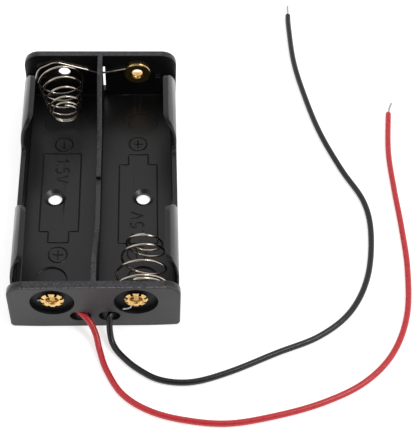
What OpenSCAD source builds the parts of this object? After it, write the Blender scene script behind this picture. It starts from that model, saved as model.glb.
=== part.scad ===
// Open holder for two cylindrical cells side by side, with flying leads.
// A moulded tray carries two coil springs, three brass eyelets and two leads.
// Millimetres. X runs across the cells, Y along them and Z up.
// The origin is under the middle of the tray, and the leads leave at the -Y end.

/* [Cells] */
// Diameter of the largest cell
cell_d = 14.5; // [13.8:0.1:15.2]
// Length of the longest cell
cell_l = 50.5; // [48:0.5:56]
// Length left in each bay for the flattened spring and the eyelet
contact_room = 5.74; // [5:0.02:8]

/* [Tray] */
// Thickness of the floor
floor_t = 1.1; // [0.8:0.05:1.5]
// Thickness of the divider between the bays
divider_t = 1; // [0.8:0.1:1.6]
// Thickness of each end wall
end_t = 1.58; // [1.3:0.02:2.4]
// Height of the end walls, the ears and the ends of the divider
tray_h = 13.3; // [12.5:0.1:15]
// Radius of the upper corners of the end walls
top_corner_r = 3.1; // [1.5:0.1:4]
// Radius of the lower corners of the end walls
foot_corner_r = 0.9; // [0.4:0.1:1.5]
// How far the end walls stand out past the side walls
end_lip = 0.2; // [0.1:0.05:0.6]
// Play between a cell and the side wall that wraps it
cell_gap = 0.05; // [0:0.05:0.3]
// Thickness of the side wall where it wraps a cell
ear_t = 0.8; // [0.6:0.05:1.4]
// Thickness of the side wall at the floor
foot_t = 1.15; // [1:0.05:1.5]
// Height of the side wall between the ears
low_wall_h = 6.8; // [5:0.1:7.5]
// Length of the level top of each ear
ear_l = 9.4; // [6:0.2:12]
// Distance from an end wall to the level top of the nearest ear
ear_setback = 6.32; // [5.5:0.02:8]

/* [Divider] */
// Height of the divider beside the middle of the cells
divider_h = 6.3; // [4.5:0.1:7.5]
// Depth of the long step in the top of the divider
divider_step = 1; // [0.4:0.1:1.5]
// Length of full height that the divider keeps at each end wall
divider_post_l = 5.2; // [3:0.1:7]

/* [Openings] */
// Diameter of the round recess outside each contact
recess_d = 8.2; // [6.5:0.1:9]
// Thickness of the web left behind each recess
web_t = 0.58; // [0.4:0.02:0.8]
// Width of a lead slot
slot_w = 4; // [3.4:0.1:4.2]
// Height of a lead slot
slot_h = 2.95; // [2:0.05:3.2]
// Height of the middle of a lead slot
slot_z = 3.5; // [3.3:0.1:3.8]
// Distance of each lead slot from the middle
slot_x = 2.7; // [2.6:0.1:3.2]
// Diameter of the two mounting holes
mount_d = 2.85; // [2:0.05:3.5]
// Diameter of the countersink of a mounting hole
mount_head_d = 4.5; // [4:0.1:6]
// Depth of the countersink of a mounting hole
mount_head_h = 0.45; // [0.2:0.05:0.5]
// Distance between the mounting holes
mount_pitch = 18; // [14:0.5:22]
// Diameter of the shallow round pockets in the floor
pocket_d = 6; // [4:0.1:8]
// Depth of the shallow round pockets
pocket_h = 0.4; // [0.1:0.05:0.5]

/* [Contacts] */
// Diameter of the spring wire
wire_d = 0.45; // [0.35:0.05:0.45]
// Free length of a spring from its end wall to its tip
spring_l = 11.9; // [9:0.1:13]
// Bore of an eyelet
eyelet_bore = 2.1; // [1.7:0.05:2.2]
// Thickness of the eyelet's brass
brass_t = 0.16; // [0.12:0.02:0.18]
// Diameter of an eyelet's flange
flange_d = 5.8; // [5.2:0.1:6.4]
// Height of the flange, which is hollow and holds the end of a wire
flange_h = 0.65; // [0.6:0.05:0.9]
// Diameter across the inner side of an eyelet's petals
star_d = 4.3; // [4.2:0.05:4.8]
// Height of the petals' crown over the web, on their inner side
star_h = 0.6; // [0.55:0.05:0.8]
// Angle that the petals are rolled back by
petal_roll = 35; // [20:1:38]
// Number of petals at the rolled end
petals = 8; // [6:1:10]
// Width of the gap between two petals
petal_gap = 0.5; // [0.3:0.05:0.7]
// Radial clearance of an eyelet in its hole
eyelet_gap = 0.03; // [0.02:0.01:0.1]

/* [Leads] */
// Diameter of a lead over its insulation
lead_d = 1.2; // [1:0.1:1.6]
// Diameter of the tinned end of a lead
tinned_d = 0.5; // [0.4:0.05:0.8]
// Diameter of the bared strands at a contact
strand_d = 0.3; // [0.2:0.05:0.3]

/* [Hidden] */
$fn = 96;
// Overrun of a cut past the face that it opens
cut = 1;
// Hair of room between two pieces that touch
seat = 0.005;

// Cell axes: a cell stands on the floor and against the divider
cell_x = (divider_t + cell_d) / 2;
cell_z = floor_t + cell_d / 2;
bay_l = cell_l + contact_room;
wrap_r = cell_d / 2 + cell_gap;
side_x = cell_x + wrap_r + ear_t;
end_w = 2 * (side_x + end_lip);
tray_l = bay_l + 2 * end_t;
foot_x = side_x - foot_t;

// Slope of the flanks of an ear, and the radii that round them
ear_slope = 72;
inner_shoulder_r = 3;
outer_shoulder_r = 1.8;
ear_foot_r = 1.2;
ear_out = bay_l / 2 - ear_setback;
ear_in = ear_out - ear_l;

// Divider: level stretches and the two long ramps
ramp_far_y = 10.5;
ramp_near_y = -12.4;
step_far_y = 1.4;
step_near_y = -10.5;

// Slot in the far wall and the divider that the series wire passes through
pass_lip = 0.38;
pass_bottom = 2.6;
pass_top = 9.94;
pass_depth = 0.9;

// Block on each end wall that steadies the coil beside it
block_x = 11.6;
block_w = 1;
block_z = 6.4;
block_h = 1.3;
block_l = 1;

// Round pockets in the floor, from the middle of the tray
pocket_x = 8.9;
pocket_y = 20;

// Wire that lies on an end wall, and the loop that it makes round an eyelet's barrel
hole_r = eyelet_bore / 2 + brass_t + eyelet_gap;
wire_y = wire_d / 2 + seat;
loop_r = 1.8;
loop_turn = 300;
ring_step = 15;
wire_sides = 8;

// Coils: radius and middle at the tip and the base, turns to the end wall, and the closed
// turns at the tip with their pitch. A middle counts outwards from the cell's axis.
negative_tip_r = 3.1;
negative_base_r = 5.3;
negative_tip_x = 1.7;
negative_base_x = 0.7;
negative_turns = 4.2;
negative_closed = 1.4;
negative_closed_pitch = 0.19;
negative_end = 5;
series_tip_r = 2.65;
series_base_r = 5;
series_tip_x = -0.7;
series_base_x = 1;
series_turns = 5.75;
series_closed = 1.8;
series_closed_pitch = 0.6;
series_base_y = 1.1;

// Peak of the series wire over its coil, and its dip where it passes the divider
peak_x = -9.5;
peak_z = 11.7;
dip_z = 8.2;

// Routes of the leads, from the slots to the bared ends. A height of 0 lies on the ground.
red_route = [
    [-3.4, -28.4, 3.9], [-2.2, -29.6, 3.8], [-0.9, -30.9, 3.2], [0.2, -33, 2],
    [0.9, -35.7, 1], [2.2, -39.6, 0], [5, -44.4, 0], [9.4, -47.7, 0],
    [15.5, -49.8, 0], [24, -50.8, 0], [33, -49.4, 0], [42, -46.8, 0],
    [50, -42.8, 0], [56, -36.8, 0], [59.8, -28.4, 0], [61.3, -17.8, 0],
    [61.4, -7.8, 0], [61.1, 2.2, 0], [61.1, 12.2, 0], [62.4, 23, 0]];
red_tip = [63.5, 26.1, 0.5];
black_route = [
    [3.4, -28.4, 3.9], [2.8, -29.8, 3.7], [2.7, -30.9, 3.1], [2.8, -32.4, 1.9],
    [3.3, -34.2, 1], [4.7, -36.3, 0], [7.8, -39.3, 0], [12.2, -41.8, 0],
    [18, -42.3, 0], [25, -40.3, 0], [34, -36.4, 0], [42.5, -32.8, 0],
    [49, -27.4, 0], [53.2, -19.3, 0], [55, -8.8, 0], [54.3, -0.8, 0],
    [50.6, 7.4, 0], [47, 17.2, 0], [44.6, 27.2, 0], [42.8, 38.2, 0],
    [42.4, 49.2, 0], [42.5, 53.2, 0]];
black_tip = [42.7, 56.4, 0.5];
rings_per_point = 2;

// Where the bared strands leave the insulation, in the slot
strand_x = 3.4;
strand_z = 3.9;
// Angle at which they reach the eyelet of the right bay; the left bay's are mirrored
strand_angle = 225;
// Angle round the coil of the right bay at which they pass under its base turn
crossing_angle = 222;

// Tails of the strands outside: distance from the eyelet's axis, angle, height over the web
red_tail = [[1.6, 190, 0], [2.3, 187, 0.05], [2.75, 185, 0.15]];
black_tail = [[1.6, 250, 0], [2.6, 250, 0.1], [3.2, 246, 0.3], [3.7, 227, 0.65]];

// ---- Curves -------------------------------------------------------------

function unit(v) = v / norm(v);

function mix(a, b, u) = a + (b - a) * u;

// A point on the smooth curve through p, at u of the way from point i to the next
function spline_point(p, i, u) =
    let (a = p[max(i - 1, 0)],
        b = p[i],
        c = p[i + 1],
        d = p[min(i + 2, len(p) - 1)])
    0.5 * (2 * b + (c - a) * u + (2 * a - 5 * b + 4 * c - d) * u * u
        + (3 * b - 3 * c + d - a) * u * u * u);

function spline(p, n) = concat(
    [for (i = [0:len(p) - 2]) for (k = [0:n - 1]) spline_point(p, i, k / n)],
    [p[len(p) - 1]]);

// Lifts the points of a route until a wire of diameter d rests on the ground
function lifted(p, d) = [for (q = p) [q[0], q[1], max(q[2], d / 2)]];

// A rounded corner at b on the way from a to c, starting and ending reach from b
function corner(a, b, c, reach, n) =
    let (from = b + reach * unit(a - b),
        to = b + reach * unit(c - b))
    [for (k = [0:n]) let (u = k / n) (1 - u) * (1 - u) * from + 2 * u * (1 - u) * b + u * u * to];

// Directions along a path, and a side direction carried along it without twist
function tangents(p) =
    [for (i = [0:len(p) - 1]) unit(p[min(i + 1, len(p) - 1)] - p[max(i - 1, 0)])];

function square_to(v, t) = unit(v - (v * t) * t);

function normals(t, first) =
    [for (i = 0, n = square_to(first, t[0]); i < len(t);
        i = i + 1, n = i < len(t) ? square_to(n, t[i]) : n) n];

// A round wire swept along a path
module wire(path, d, first = [0, 0, 1]) {
    s = wire_sides;
    t = tangents(path);
    n = normals(t, first);
    last = len(path) - 1;
    points = [for (i = [0:last]) let (b = cross(t[i], n[i])) for (k = [0:s - 1])
        path[i] + d / 2 * (cos(360 * k / s) * n[i] + sin(360 * k / s) * b)];
    sides = [for (i = [0:last - 1]) for (k = [0:s - 1])
        let (a = i * s + k, b = i * s + (k + 1) % s)
        each [[a, a + s, b + s], [a, b + s, b]]];
    caps = [[for (k = [0:s - 1]) k], [for (k = [s - 1:-1:0]) last * s + k]];
    polyhedron(points, concat(caps, sides));
}

// ---- Tray ---------------------------------------------------------------

// Outline of an end wall, with two large and two small corners
module end_outline() {
    waist = tray_h - top_corner_r - foot_corner_r;
    translate([-end_w / 2, foot_corner_r])
        square([end_w, waist]);
    translate([foot_corner_r - end_w / 2, 0])
        square([end_w - 2 * foot_corner_r, foot_corner_r + waist]);
    translate([top_corner_r - end_w / 2, foot_corner_r])
        square([end_w - 2 * top_corner_r, waist + top_corner_r]);
    for (s = [-1, 1]) {
        translate([s * (end_w / 2 - top_corner_r), tray_h - top_corner_r])
            circle(top_corner_r);
        translate([s * (end_w / 2 - foot_corner_r), foot_corner_r])
            circle(foot_corner_r);
    }
}

// Half of the tray's section: the floor, and a side wall that wraps the cell
module half_section() {
    difference() {
        intersection() {
            union() {
                square([side_x, cell_z]);
                translate([cell_x, cell_z])
                    circle(wrap_r + ear_t);
            }
            square([side_x, tray_h]);
        }
        translate([cell_x, cell_z])
            circle(wrap_r);
        translate([-cut, floor_t])
            square([foot_x + cut, cell_z - floor_t]);
        translate([-cut, cell_z])
            square([cell_x + cut, tray_h]);
    }
}

// Flank of an ear from its level top at y, going towards side s, down to the low wall
function flank(y, s, shoulder_r) =
    let (rise = tray_h - low_wall_h,
        arcs = (shoulder_r + ear_foot_r) * (1 - cos(ear_slope)),
        straight = (rise - arcs) / tan(ear_slope),
        foot_y = y + s * ((shoulder_r + ear_foot_r) * sin(ear_slope) + straight))
    concat(
        [for (a = [0:ear_slope / 6:ear_slope])
            [y + s * shoulder_r * sin(a), tray_h - shoulder_r * (1 - cos(a))]],
        [for (a = [ear_slope:-ear_slope / 3:0])
            [foot_y - s * ear_foot_r * sin(a), low_wall_h + ear_foot_r * (1 - cos(a))]]);

function backwards(p) = [for (i = [len(p) - 1:-1:0]) p[i]];

// Side view of the side walls: an ear near each end, and a low wall elsewhere
module side_profile() {
    far = concat(
        backwards(flank(ear_out, 1, outer_shoulder_r)),
        flank(ear_in, -1, inner_shoulder_r));
    near = [for (p = backwards(far)) [-p[0], p[1]]];
    half = tray_l / 2;
    polygon(concat([[half, 0], [half, low_wall_h]], far, near, [[-half, low_wall_h], [-half, 0]]));
}

// Side view of the divider: a post at each end, a ramp down from it and a long step
module divider_profile() {
    half = bay_l / 2 + end_t / 2;
    post = bay_l / 2 - divider_post_l;
    low = divider_h - divider_step;
    polygon([
        [half, 0], [half, tray_h], [post, tray_h], [ramp_far_y, divider_h],
        [step_far_y, divider_h], [step_far_y, low], [step_near_y, low],
        [step_near_y, divider_h], [ramp_near_y, divider_h],
        [-post, tray_h], [-half, tray_h], [-half, 0]]);
}

// Stands a flat shape of Y and Z up, centred on X = 0
module upright(width) {
    rotate([90, 0, 90])
        translate([0, 0, -width / 2])
            linear_extrude(width)
                children();
}

// Lays a flat shape of X and Z out along Y, centred on Y = 0
module along(length) {
    rotate([90, 0, 0])
        translate([0, 0, -length / 2])
            linear_extrude(length)
                children();
}

// Copies a child to both sides of the middle
module both_sides() {
    children();
    mirror([1, 0, 0])
        children();
}

module floor_and_walls() {
    intersection() {
        along(bay_l + end_t)
            both_sides()
                half_section();
        upright(end_w)
            side_profile();
    }
}

module end_walls() {
    for (s = [-1, 1])
        translate([0, s * (bay_l + end_t) / 2, 0])
            along(end_t)
                end_outline();
}

module coil_blocks() {
    for (s = [-1, 1])
        both_sides()
            translate([block_x, s * (bay_l - block_l) / 2 - block_l / 2, block_z])
                cube([block_w, block_l, block_h]);
}

// Recess of each contact on the wall at side s, and the hole for its eyelet in the web
module contact_cuts(s) {
    depth = end_t - web_t;
    both_sides()
        translate([cell_x, s * bay_l / 2, cell_z])
            rotate([-90 * s, 0, 0]) {
                translate([0, 0, -cut])
                    cylinder(h = end_t + 2 * cut, r = hole_r);
                translate([0, 0, web_t])
                    cylinder(h = depth + cut, d = recess_d);
            }
}

module lead_slots() {
    for (s = [-1, 1])
        translate([s * slot_x, -(bay_l + end_t) / 2, slot_z])
            along(end_t + 2 * cut) {
                square([slot_w - slot_h, slot_h], center = true);
                for (e = [-1, 1])
                    translate([e * (slot_w - slot_h) / 2, 0])
                        circle(d = slot_h);
            }
}

module wire_pass() {
    translate([-divider_t / 2, bay_l / 2 - pass_depth, pass_bottom])
        cube([divider_t + pass_lip, pass_depth + end_t + cut, pass_top - pass_bottom]);
}

module floor_cuts() {
    for (s = [-1, 1])
        translate([s * mount_pitch / 2, 0, 0]) {
            translate([0, 0, -cut])
                cylinder(h = floor_t + 2 * cut, d = mount_d);
            translate([0, 0, floor_t - mount_head_h])
                cylinder(h = mount_head_h, d1 = mount_d, d2 = mount_head_d);
        }
    for (x = [-1, 1])
        for (y = [-1, 1])
            translate([x * pocket_x, y * pocket_y, floor_t - pocket_h])
                cylinder(h = pocket_h + cut, d = pocket_d);
}

module tray() {
    color([0.17, 0.16, 0.17])
        difference() {
            union() {
                floor_and_walls();
                end_walls();
                upright(divider_t)
                    divider_profile();
                coil_blocks();
            }
            contact_cuts(1);
            contact_cuts(-1);
            lead_slots();
            wire_pass();
            floor_cuts();
        }
}

// ---- Springs ------------------------------------------------------------

// Points on a coil are given from its end wall: x outwards from the cell's axis, y into the
// bay and z up. t counts turns from the tip.

// A line that is level before 0 and rises by t after it, rounded over a length
function bend(t, round_l) = (sqrt(t * t + round_l * round_l) + t) / 2;

// Distance of a coil from its wall: closed turns at the tip, then open ones to base_y
function coil_y(t, closed, closed_pitch, turns, base_y, round_l) =
    let (rise = bend(t - closed, round_l) - bend(-closed, round_l),
        full = bend(turns - closed, round_l) - bend(-closed, round_l),
        open = spring_l - base_y - closed_pitch * turns)
    spring_l - closed_pitch * t - open * rise / full;

// Radius of a coil that widens evenly after its first half turn
function coil_r(t, tip_r, base_r, turns) =
    mix(tip_r, base_r, min(max((t - 0.5) / (turns - 0.5), 0), 1));

// Where the straight from p meets the loop of a wire round an eyelet at c, as an angle.
// side is 1 for a loop that then turns anticlockwise in X and Z, and -1 for clockwise.
function touch_angle(p, c, side) =
    let (v = c - p)
    atan2(v[2], v[0]) - side * (90 + asin(loop_r / norm([v[0], v[2]])));

function loop_point(c, angle) = c + loop_r * [cos(angle), 0, sin(angle)];

// The straight from corner p to the loop round c, then the loop
function hooked(before, p, c, side, reach) =
    let (a = touch_angle(p, c, side))
    concat(corner(before, p, loop_point(c, a), reach, 5),
        [for (i = [0:ring_step:loop_turn]) loop_point(c, a + side * i)]);

// The eyelets' axes, in the plane of a wire that lies on the wall
negative_axis = [cell_x, wire_y - bay_l / 2, cell_z];
series_axis = [cell_x, bay_l / 2 - wire_y, cell_z];

// The base turn lies on the wall, and rides over the strands of the lead where it meets them
function negative_point(t) =
    let (over = (strand_d + 3 * seat) * max(0, cos(2 * (90 + 360 * t - crossing_angle))),
        y = max(coil_y(t, negative_closed, negative_closed_pitch, negative_turns, wire_y, 0.3),
            wire_y + over),
        up = (y - wire_y) / (spring_l - wire_y),
        r = coil_r(t, negative_tip_r, negative_base_r, negative_turns),
        x = r * cos(90 + 360 * t),
        z = r * sin(90 + 360 * t),
        lean = (-0.1 * x - 0.12 * z) * min(1, 2 * up))
    [cell_x + mix(negative_base_x, negative_tip_x, up) + x, y + lean - bay_l / 2, cell_z + z];

// The base turn ends in a hook under the eyelet's flange
negative_corner = negative_point(negative_end) - [1, 0, 0.2];

function negative_path() =
    let (steps = round(negative_end * 360 / ring_step))
    concat([for (i = [0:steps - 1]) negative_point(i * negative_end / steps)],
        hooked(negative_point(negative_end), negative_corner, negative_axis, 1, 0.7));

module negative_spring() {
    color([0.78, 0.76, 0.74])
        wire(negative_path(), wire_d, [0, 1, 0]);
}

function series_point(t) =
    let (y = coil_y(t, series_closed, series_closed_pitch, series_turns, series_base_y, 0.5),
        up = (y - series_base_y) / (spring_l - series_base_y),
        r = coil_r(t, series_tip_r, series_base_r, series_turns),
        x = r * cos(90 + 360 * t))
    [-cell_x - mix(series_base_x, series_tip_x, up) - x, bay_l / 2 - y - 0.09 * x,
        cell_z + r * sin(90 + 360 * t)];

// The last turn of the series spring runs on past the divider to the other bay's eyelet
series_dip = [0, bay_l / 2 - wire_y, dip_z];

function series_path() =
    let (steps = round(series_turns * 360 / ring_step),
        y = bay_l / 2 - wire_y,
        end = series_point(series_turns),
        rise = [end[0] + 0.6, mix(end[1], y, 0.8), end[2] + 1.4],
        peak = [peak_x, y, peak_z])
    concat([for (i = [0:steps]) series_point(i * series_turns / steps)],
        corner(end, rise, peak, 1, 5), corner(rise, peak, series_dip, 1, 5),
        hooked(peak, series_dip, series_axis, -1, 1.5));

module series_spring() {
    color([0.78, 0.76, 0.74])
        wire(series_path(), wire_d, [0, 1, 0]);
}

// ---- Eyelets ------------------------------------------------------------

// An arc of the section, from angle a to angle b
function arc(c, r, a, b, n) =
    [for (i = [0:n]) c + r * [cos(mix(a, b, i / n)), sin(mix(a, b, i / n))]];

// Half section of an eyelet, at its axis: distance out, and height outwards through the web.
// The bay side has a hollow flange that bears on the wall, and the other side is rolled back.
function eyelet_section() =
    let (bore_r = eyelet_bore / 2,
        mouth_r = 0.6,
        shoulder_r = 0.4,
        neck_r = 0.5,
        mouth = [bore_r + mouth_r, mouth_r - flange_h],
        shoulder = [flange_d / 2 - shoulder_r, shoulder_r - flange_h],
        neck = [bore_r + brass_t + neck_r, web_t + star_h - neck_r],
        crest = neck + neck_r * [sin(petal_roll), cos(petal_roll)],
        tip = crest + (star_d / 2 - crest[0]) * [1, -tan(petal_roll)])
    concat(
        [[flange_d / 2, -seat]],
        arc(shoulder, shoulder_r, 0, -90, 6),
        arc(mouth, mouth_r, -90, -180, 6),
        arc(neck, neck_r + brass_t, 180, 90 - petal_roll, 8),
        [tip + brass_t * [sin(petal_roll), cos(petal_roll)], tip],
        arc(neck, neck_r, 90 - petal_roll, 180, 6),
        arc(mouth, mouth_r - brass_t, 180, 270, 4),
        arc(shoulder, shoulder_r - brass_t, -90, 0, 6),
        [[flange_d / 2 - brass_t, -seat]]);

module eyelet() {
    slit_from = eyelet_bore / 2 + brass_t + 0.4;
    difference() {
        rotate_extrude()
            polygon(eyelet_section());
        for (i = [0:petals - 1])
            rotate([0, 0, 90 + 360 * (i + 0.5) / petals])
                translate([slit_from, -petal_gap / 2, web_t])
                    cube([star_d, petal_gap, 1]);
    }
}

// Notch in a flange's rim for a wire that lies on the wall and meets its loop at an angle
module wire_notch(angle) {
    width = wire_d + 0.1;
    rotate([0, 0, angle])
        translate([loop_r - width / 2, -flange_d, -wire_d - 2 * seat])
            cube([width, flange_d, wire_d + 2 * seat]);
}

// Notch in a flange's rim for the strands of the lead on side s
module strand_notch(s) {
    width = strand_d + 0.1;
    rotate([0, 0, s > 0 ? strand_angle : 180 - strand_angle])
        translate([loop_r + wire_d / 2, -width / 2, -strand_d - 2 * seat])
            cube([flange_d, width, strand_d + 2 * seat]);
}

module near_eyelet(s) {
    translate([s * cell_x, -bay_l / 2, cell_z])
        rotate([90, 0, 0])
            difference() {
                eyelet();
                children();
            }
}

module positive_eyelet() {
    color([0.83, 0.62, 0.28])
        near_eyelet(-1)
            strand_notch(-1);
}

module negative_eyelet() {
    color([0.83, 0.62, 0.28])
        near_eyelet(1) {
            strand_notch(1);
            wire_notch(touch_angle(negative_corner, negative_axis, 1));
        }
}

module series_eyelet() {
    color([0.83, 0.62, 0.28])
        translate([cell_x, bay_l / 2, cell_z])
            rotate([-90, 0, 0])
                difference() {
                    eyelet();
                    wire_notch(-touch_angle(series_dip, series_axis, -1));
                }
}

// ---- Leads --------------------------------------------------------------

module lead(route) {
    wire(lifted(spline(lifted(route, lead_d), rings_per_point), lead_d), lead_d);
}

// Tinned end: it starts at the end face of the insulation and bends to its tip
module tinned_end(route, tip) {
    lying = lifted(route, lead_d);
    end = lying[len(lying) - 1];
    onward = unit(end - lying[len(lying) - 2]);
    wire(concat(corner(end, end + onward, tip, 1 - 2 * seat, 6), [tip]), tinned_d);
}

// Bared strands of the lead on side s: a run up the wall and in under the eyelet's flange,
// and a tail that sticks out from under the petals on the other side of the wall
module strands(s, tail) {
    wall = -bay_l / 2 + strand_d / 2 + seat;
    out = -bay_l / 2 - web_t - strand_d / 2 - seat;
    axis = [s * cell_x, wall, cell_z];
    aim = [s * cos(strand_angle), 0, sin(strand_angle)];
    wire(spline([[s * strand_x, -bay_l / 2 - 0.1, strand_z],
        [s * (strand_x + 0.4), wall, strand_z + 0.4], axis + 3.6 * aim, axis + 2.35 * aim], 3),
        strand_d, [0, 1, 0]);
    wire(spline([for (q = tail) [s * cell_x + q[0] * cos(q[1]), out - q[2],
        cell_z + q[0] * sin(q[1])]], 3), strand_d, [0, 1, 0]);
}

module red_lead() {
    color([0.78, 0.2, 0.22])
        lead(red_route);
}

module red_tinned_end() {
    color([0.72, 0.72, 0.72])
        tinned_end(red_route, red_tip);
}

module red_strands() {
    color([0.72, 0.72, 0.72])
        strands(-1, red_tail);
}

module black_lead() {
    color([0.12, 0.12, 0.12])
        lead(black_route);
}

module black_tinned_end() {
    color([0.72, 0.72, 0.72])
        tinned_end(black_route, black_tip);
}

module black_strands() {
    color([0.72, 0.72, 0.72])
        strands(1, black_tail);
}

tray();
series_spring();
negative_spring();
series_eyelet();
positive_eyelet();
negative_eyelet();
red_lead();
red_tinned_end();
red_strands();
black_lead();
black_tinned_end();
black_strands();
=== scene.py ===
# %% [markdown]
# # Open holder for two cylindrical cells
# This lesson dresses a moulded tray for two cells, its wound springs, brass eyelets and flying
# leads. The construction comes from a CAD model that is loaded first and never moved. The pieces
# could be fitted to it by eye, but here they share its frame: every object stands at the origin
# and has its place in its mesh. Sizes are written in millimetres and scaled once to Blender's
# metres, because such a small product is thought of in millimetres.

# %% Load the CAD model as a fixed frame
import math

import bmesh
import bpy
import numpy as np
from mathutils import Matrix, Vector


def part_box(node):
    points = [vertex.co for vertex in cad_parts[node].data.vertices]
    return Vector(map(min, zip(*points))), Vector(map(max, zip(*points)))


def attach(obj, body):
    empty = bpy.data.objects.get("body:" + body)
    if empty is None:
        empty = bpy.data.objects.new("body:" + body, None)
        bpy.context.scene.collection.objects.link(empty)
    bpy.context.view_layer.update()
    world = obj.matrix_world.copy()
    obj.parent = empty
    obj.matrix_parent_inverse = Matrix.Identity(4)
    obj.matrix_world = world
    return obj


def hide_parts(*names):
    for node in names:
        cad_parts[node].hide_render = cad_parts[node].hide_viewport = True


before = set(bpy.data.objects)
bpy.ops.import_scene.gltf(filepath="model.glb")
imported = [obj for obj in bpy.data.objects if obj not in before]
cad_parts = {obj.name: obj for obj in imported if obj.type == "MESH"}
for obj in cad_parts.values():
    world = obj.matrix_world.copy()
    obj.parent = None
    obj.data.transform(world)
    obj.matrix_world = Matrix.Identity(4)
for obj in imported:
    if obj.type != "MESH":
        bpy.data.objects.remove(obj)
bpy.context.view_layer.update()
scene = bpy.context.scene
MM = 0.001


def box_mm(node):
    """Lowest and highest corner of a CAD node, in millimetres."""
    low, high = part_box(node)
    return np.array(low) / MM, np.array(high) / MM


tray_low, tray_high = box_mm("tray")
print("CAD nodes:", ", ".join(sorted(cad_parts)))
print("tray, mm:", np.round(tray_high - tray_low, 2))

# %% [markdown]
# ## Camera
# A long lens looks down on the open side from the front, at a little over 50 degrees. A camera
# can be aimed by a constraint, but that leaves out its roll. So its turn is worked out from three
# angles: round the object, above the ground, and the roll. The small shift moves the frame, so
# that the tray stands at the left and the leads have room.

# %% Camera
CAMERA_AT = np.array([11.22, -146.67, 195.98])
CAMERA_AZIMUTH, CAMERA_ELEVATION, CAMERA_ROLL = np.radians([-3.913, 53.686, 2.86])
LENS, SENSOR, SHIFT = 99.1, 36, (0.013, -0.0094)
NEAREST, FURTHEST = 0.01, 10


def camera_axes(azimuth, elevation, roll):
    """Right, up and backward directions of a camera that looks at the object from there."""
    back = np.array([
        math.sin(azimuth) * math.cos(elevation),
        -math.cos(azimuth) * math.cos(elevation),
        math.sin(elevation)])
    level = np.array([math.cos(azimuth), math.sin(azimuth), 0])
    upright = np.cross(back, level)
    right = math.cos(roll) * level + math.sin(roll) * upright
    up = math.cos(roll) * upright - math.sin(roll) * level
    return right, up, back


def make_camera():
    """The scene's camera. The three directions are the columns of its turn."""
    lens = bpy.data.cameras.new("camera")
    lens.sensor_width = SENSOR
    lens.lens = LENS
    lens.shift_x, lens.shift_y = SHIFT
    lens.clip_start, lens.clip_end = NEAREST, FURTHEST
    camera = bpy.data.objects.new("camera", lens)
    turn = Matrix(np.column_stack(camera_axes(CAMERA_AZIMUTH, CAMERA_ELEVATION, CAMERA_ROLL)))
    camera.matrix_world = Matrix.Translation(CAMERA_AT * MM) @ turn.to_4x4()
    scene.collection.objects.link(camera)
    scene.camera = camera


make_camera()
print("camera at, mm:", CAMERA_AT)

# %% [markdown]
# ## Tubes along a path
# Leads, springs and bare strands are all round wires, so one function sweeps them. A curve object
# with a bevel would do it too, but a mesh worked out here has rounded ends where the wire is cut,
# and UV places in millimetres. A ring of points is worked out for every point of the path at
# once. Each ring needs two directions square to the path. They come from one fixed direction that
# the path never runs along, which keeps the rings from twisting.

# %% Paths
def unit(v):
    """Vectors along the last axis, scaled to a length of 1."""
    return v / np.linalg.norm(v, axis=-1, keepdims=True)


def smooth_curve(points, steps):
    """Catmull-Rom curve: between two points it is the cubic that runs through both, with a
    slope at each that is half the way from the point before it to the point after it."""
    p = np.asarray(points, float)
    padded = np.vstack([p[:1], p, p[-1:]])[:, None, :]
    a, b, c, d = padded[:-3], padded[1:-2], padded[2:-1], padded[3:]
    u = (np.arange(steps) / steps)[None, :, None]
    curve = 0.5 * (2 * b + (c - a) * u + (2 * a - 5 * b + 4 * c - d) * u ** 2
                   + (3 * b - 3 * c + d - a) * u ** 3)
    return np.vstack([curve.reshape(-1, 3), p[-1:]])


def path_frame(path, side_hint):
    """Direction of the path at each point, from the points before and after it, and two
    directions square to it. The first is side_hint less its part along the path."""
    ahead = unit(np.gradient(path, axis=0))
    hint = np.broadcast_to(np.asarray(side_hint, float), path.shape)
    side = unit(hint - (hint * ahead).sum(1, keepdims=True) * ahead)
    return ahead, side, np.cross(ahead, side)


def distance_along(path):
    """Length of the path from its start to each of its points."""
    return np.concatenate([[0], np.cumsum(np.linalg.norm(np.diff(path, axis=0), axis=1))])


# %% Rings of a rod
# Radius of the tiny cap that closes each end, as a share of the rod's.
CAP_SHARE = 0.02


def ring_faces(rings, sides):
    """Four-sided faces between rings of points that follow each other, as an array of indices."""
    ring, side = np.meshgrid(np.arange(rings - 1), np.arange(sides), indexing="ij")
    beside = (side + 1) % sides
    return np.stack([ring * sides + side, ring * sides + beside,
                     (ring + 1) * sides + beside, (ring + 1) * sides + side], -1).reshape(-1, 4)


def rounded_ends(path, radius, edge):
    """Rings of a rod whose end edges are rounded: their middles, their radii, and the point of
    the path whose directions each takes. Near each end the radius shrinks as a quarter circle
    of the edge's size, and the last ring is a tiny cap."""
    ahead = unit(np.gradient(path, axis=0)[[0, -1]])
    angle = np.radians([90, 60, 30, 0])[:, None]
    inset = edge * (1 - np.sin(angle))
    shrunk = (radius - edge * (1 - np.cos(angle))).ravel()
    start = path[0] + ahead[0] * inset
    finish = path[-1] - ahead[1] * inset[::-1]
    cap = [radius * CAP_SHARE]
    last = len(path) - 1
    rings = np.vstack([path[:1], start, path[2:-2], finish, path[-1:]])
    radii = np.concatenate([cap, shrunk, np.full(last - 3, radius), shrunk[::-1], cap])
    at = np.concatenate([np.zeros(5, int), np.arange(2, last - 1), np.full(5, last)])
    return rings, radii, at


# %% Rods
# Rounding of a wire's cut end, in mm, where no other is given.
CUT_EDGE = 0.04


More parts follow.
